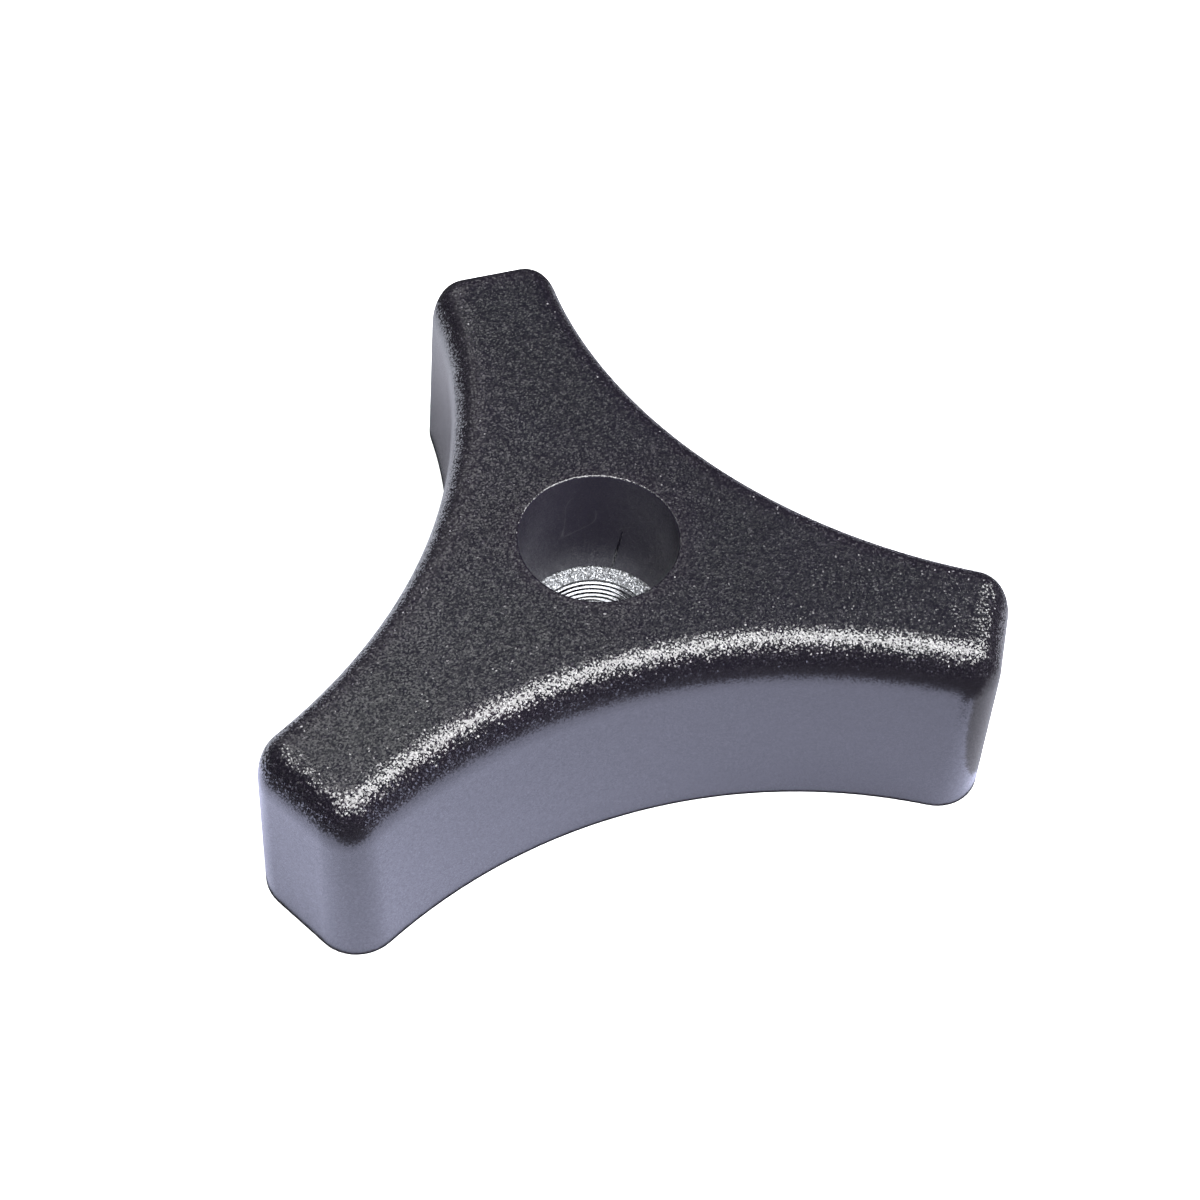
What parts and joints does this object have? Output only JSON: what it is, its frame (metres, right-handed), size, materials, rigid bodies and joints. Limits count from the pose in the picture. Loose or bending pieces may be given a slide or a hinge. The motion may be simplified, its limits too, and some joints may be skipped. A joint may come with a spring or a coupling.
{
  "type": "three-arm wing nut",
  "caption": "Hand-tightened nut: a black moulded tri-lobe grip with hollow sides round a threaded steel insert set deep in an open well.",
  "frame": {"origin": "centre of mass, which lies on the thread's axis 10.5 mm above the flat base", "axes": "+Z along the thread's axis, out of the top face and the well; +Y along one arm, so that the other two arms point 30 degrees below -X and +X"},
  "size_m": [0.069, 0.0609, 0.0206],
  "materials": {
    "black_plastic": "fine spark-eroded grain on the top, smoother satin on the sides",
    "zinc_steel": "bright zinc plate over turned steel"
  },
  "bodies": {
    "root": {"grip_body": "black_plastic", "threaded_insert": "zinc_steel"}
  },
  "joints": []
}
